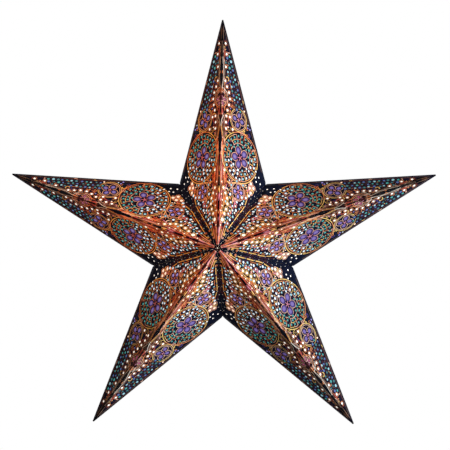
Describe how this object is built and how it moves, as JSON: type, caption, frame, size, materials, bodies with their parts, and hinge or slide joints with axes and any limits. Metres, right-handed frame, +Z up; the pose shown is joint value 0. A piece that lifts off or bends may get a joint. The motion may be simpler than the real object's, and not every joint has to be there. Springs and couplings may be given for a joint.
{
  "type": "paper star lantern",
  "caption": "Folding five-pointed paper star lantern: pierced, printed panels with tissue liners, creased to fold flat like a fan, with a lamp holder and bulb on its axis.",
  "frame": {"origin": "middle of the hanging eyelet, in the top arm's back right panel", "axes": "+Z up, the star's front faces -Y, +X to the right seen from the front; the star lies in the XZ plane"},
  "size_m": [0.5647, 0.1937, 0.5371],
  "materials": {
    "printed_paper": "matt printed paper, dark blue and red-brown with a gold and turquoise pattern",
    "tissue": "thin coloured tissue",
    "plain_paper": "unprinted paper",
    "eyelet_brass": "pressed",
    "spring_wire": "drawn wire",
    "black_plastic": "moulded",
    "ceramic": "unglazed",
    "contact_brass": "rolled strip",
    "black_glass": "opaque",
    "nickel": "rolled screw shell",
    "opal_plastic": "opal"
  },
  "bodies": {
    "top_back_left": {"top_back_left_paper": "printed_paper", "top_back_left_liner": "tissue", "top_glue_flap": "plain_paper"},
    "top_front_left": {"top_front_left_paper": "printed_paper", "top_front_left_liner": "tissue"},
    "top_back_right": {"top_back_right_paper": "printed_paper", "top_back_right_liner": "tissue", "hanging_eyelet": "eyelet_brass"},
    "top_front_right": {"top_front_right_paper": "printed_paper", "top_front_right_liner": "tissue"},
    "upper_right_back_left": {"upper_right_back_left_paper": "printed_paper", "upper_right_back_left_liner": "tissue"},
    "upper_right_front_left": {"upper_right_front_left_paper": "printed_paper", "upper_right_front_left_liner": "tissue"},
    "upper_right_back_right": {"upper_right_back_right_paper": "printed_paper", "upper_right_back_right_liner": "tissue", "upper_right_glue_flap": "plain_paper"},
    "upper_right_front_right": {"upper_right_front_right_paper": "printed_paper", "upper_right_front_right_liner": "tissue"},
    "lower_right_back_left": {"lower_right_back_left_paper": "printed_paper", "lower_right_back_left_liner": "tissue"},
    "lower_right_front_left": {"lower_right_front_left_paper": "printed_paper", "lower_right_front_left_liner": "tissue"},
    "lower_right_back_right": {"lower_right_back_right_paper": "printed_paper", "lower_right_back_right_liner": "tissue", "lower_right_glue_flap": "plain_paper", "lower_right_back_right_tie_eyelets": "eyelet_brass"},
    "lower_right_front_right": {"lower_right_front_right_paper": "printed_paper", "lower_right_front_right_liner": "tissue"},
    "lower_left_back_left": {"lower_left_back_left_paper": "printed_paper", "lower_left_back_left_liner": "tissue", "lower_left_glue_flap": "plain_paper", "lower_left_back_left_tie_eyelets": "eyelet_brass"},
    "lower_left_front_left": {"lower_left_front_left_paper": "printed_paper", "lower_left_front_left_liner": "tissue"},
    "lower_left_back_right": {"lower_left_back_right_paper": "printed_paper", "lower_left_back_right_liner": "tissue"},
    "lower_left_front_right": {"lower_left_front_right_paper": "printed_paper", "lower_left_front_right_liner": "tissue"},
    "upper_left_back_left": {"upper_left_back_left_paper": "printed_paper", "upper_left_back_left_liner": "tissue", "upper_left_glue_flap": "plain_paper"},
    "upper_left_front_left": {"upper_left_front_left_paper": "printed_paper", "upper_left_front_left_liner": "tissue"},
    "upper_left_back_right": {"upper_left_back_right_paper": "printed_paper", "upper_left_back_right_liner": "tissue"},
    "upper_left_front_right": {"upper_left_front_right_paper": "printed_paper", "upper_left_front_right_liner": "tissue"},
    "lamp": {"wire_bracket": "spring_wire", "cord_grip": "black_plastic", "holder_cap": "black_plastic", "holder_shell": "black_plastic", "contact_block": "ceramic", "centre_contact": "contact_brass", "side_contact": "contact_brass", "bulb_foot": "black_glass", "bulb_screw_cap": "nickel", "bulb_globe": "opal_plastic"}
  },
  "joints": [
    {"name": "star_fold", "type": "hinge", "parent": "top_back_right", "child": "upper_right_back_left", "pos_m": [0.05295, -0.00469, -0.1875], "axis": [0.4156, -0.7071, 0.5721], "range_deg": [0, 108.35]},
    {"name": "top_back_left_crease", "type": "hinge", "parent": "top_back_right", "child": "top_back_left", "pos_m": [-0.00485, -0.00502, 0.03295], "axis": [0, -0.3105, 0.9506], "range_deg": [0, 74.52]},
    {"name": "top_front_right_crease", "type": "hinge", "parent": "top_back_right", "child": "top_front_right", "pos_m": [-0.00485, -0.00502, 0.03295], "axis": [-0.2525, 0, 0.9676], "range_deg": [0, 70.28]},
    {"name": "top_front_left_crease", "type": "hinge", "parent": "top_front_right", "child": "top_front_left", "pos_m": [-0.00485, -0.00502, 0.03295], "axis": [0, -0.3105, -0.9506], "range_deg": [0, 74.52]},
    {"name": "upper_right_back_right_crease", "type": "hinge", "parent": "upper_right_back_left", "child": "upper_right_back_right", "pos_m": [0.28047, -0.00502, -0.17434], "axis": [-0.904, 0.3105, -0.2937], "range_deg": [0, 74.52]},
    {"name": "upper_right_front_left_crease", "type": "hinge", "parent": "upper_right_back_left", "child": "upper_right_front_left", "pos_m": [0.28047, -0.00502, -0.17434], "axis": [-0.9983, 0, -0.0588], "range_deg": [0, 70.28]},
    {"name": "upper_right_front_right_crease", "type": "hinge", "parent": "upper_right_front_left", "child": "upper_right_front_right", "pos_m": [0.28047, -0.00502, -0.17434], "axis": [0.904, 0.3105, 0.2937], "range_deg": [0, 74.52]},
    {"name": "lower_right_back_left_crease", "type": "hinge", "parent": "upper_right_back_right", "child": "lower_right_back_left", "pos_m": [0.08866, -0.00469, -0.29743], "axis": [0.6725, -0.7071, -0.2185], "range_deg": [0, 108.35]},
    {"name": "lower_right_back_right_crease", "type": "hinge", "parent": "lower_right_back_left", "child": "lower_right_back_right", "pos_m": [0.17149, -0.00502, -0.50975], "axis": [-0.5587, 0.3105, 0.769], "range_deg": [0, 74.52]},
    {"name": "lower_right_front_left_crease", "type": "hinge", "parent": "lower_right_back_left", "child": "lower_right_front_left", "pos_m": [0.17149, -0.00502, -0.50975], "axis": [-0.3644, 0, 0.9312], "range_deg": [0, 70.28]},
    {"name": "lower_right_front_right_crease", "type": "hinge", "parent": "lower_right_front_left", "child": "lower_right_front_right", "pos_m": [0.17149, -0.00502, -0.50975], "axis": [0.5587, 0.3105, -0.769], "range_deg": [0, 74.52]},
    {"name": "upper_left_back_right_crease", "type": "hinge", "parent": "top_back_left", "child": "upper_left_back_right", "pos_m": [-0.06265, -0.00469, -0.1875], "axis": [0.4156, 0.7071, -0.5721], "range_deg": [0, 108.35]},
    {"name": "upper_left_back_left_crease", "type": "hinge", "parent": "upper_left_back_right", "child": "upper_left_back_left", "pos_m": [-0.29017, -0.00502, -0.17434], "axis": [-0.904, -0.3105, 0.2937], "range_deg": [0, 74.52]},
    {"name": "upper_left_front_right_crease", "type": "hinge", "parent": "upper_left_back_right", "child": "upper_left_front_right", "pos_m": [-0.29017, -0.00502, -0.17434], "axis": [-0.9983, 0, 0.0588], "range_deg": [0, 70.28]},
    {"name": "upper_left_front_left_crease", "type": "hinge", "parent": "upper_left_front_right", "child": "upper_left_front_left", "pos_m": [-0.29017, -0.00502, -0.17434], "axis": [0.904, -0.3105, -0.2937], "range_deg": [0, 74.52]},
    {"name": "lower_left_back_right_crease", "type": "hinge", "parent": "upper_left_back_left", "child": "lower_left_back_right", "pos_m": [-0.09836, -0.00469, -0.29743], "axis": [0.6725, 0.7071, 0.2185], "range_deg": [0, 108.35]},
    {"name": "lower_left_back_left_crease", "type": "hinge", "parent": "lower_left_back_right", "child": "lower_left_back_left", "pos_m": [-0.18119, -0.00502, -0.50975], "axis": [-0.5587, -0.3105, -0.769], "range_deg": [0, 74.52]},
    {"name": "lower_left_front_right_crease", "type": "hinge", "parent": "lower_left_back_right", "child": "lower_left_front_right", "pos_m": [-0.18119, -0.00502, -0.50975], "axis": [-0.3644, 0, -0.9312], "range_deg": [0, 70.28]},
    {"name": "lower_left_front_left_crease", "type": "hinge", "parent": "lower_left_front_right", "child": "lower_left_front_left", "pos_m": [-0.18119, -0.00502, -0.50975], "axis": [0.5587, -0.3105, 0.769], "range_deg": [0, 74.52]},
    {"name": "lamp_swing", "type": "hinge", "parent": "top_back_right", "child": "lamp", "pos_m": [-0.00485, 0.09298, -0.26705], "axis": [-0.2525, 0, 0.9676], "range_deg": [0, 35.14]}
  ],
  "couplings": [
    {"joint": "top_back_left_crease", "follows": "star_fold", "ratio": 0.68776},
    {"joint": "top_front_right_crease", "follows": "star_fold", "ratio": 0.64868},
    {"joint": "top_front_left_crease", "follows": "star_fold", "ratio": 0.68776},
    {"joint": "upper_right_back_right_crease", "follows": "star_fold", "ratio": 0.68776},
    {"joint": "upper_right_front_left_crease", "follows": "star_fold", "ratio": 0.64868},
    {"joint": "upper_right_front_right_crease", "follows": "star_fold", "ratio": 0.68776},
    {"joint": "lower_right_back_left_crease", "follows": "star_fold", "ratio": 1},
    {"joint": "lower_right_back_right_crease", "follows": "star_fold", "ratio": 0.68776},
    {"joint": "lower_right_front_left_crease", "follows": "star_fold", "ratio": 0.64868},
    {"joint": "lower_right_front_right_crease", "follows": "star_fold", "ratio": 0.68776},
    {"joint": "upper_left_back_right_crease", "follows": "star_fold", "ratio": 1},
    {"joint": "upper_left_back_left_crease", "follows": "star_fold", "ratio": 0.68776},
    {"joint": "upper_left_front_right_crease", "follows": "star_fold", "ratio": 0.64868},
    {"joint": "upper_left_front_left_crease", "follows": "star_fold", "ratio": 0.68776},
    {"joint": "lower_left_back_right_crease", "follows": "star_fold", "ratio": 1},
    {"joint": "lower_left_back_left_crease", "follows": "star_fold", "ratio": 0.68776},
    {"joint": "lower_left_front_right_crease", "follows": "star_fold", "ratio": 0.64868},
    {"joint": "lower_left_front_left_crease", "follows": "star_fold", "ratio": 0.68776},
    {"joint": "lamp_swing", "follows": "star_fold", "ratio": 0.32434}
  ]
}
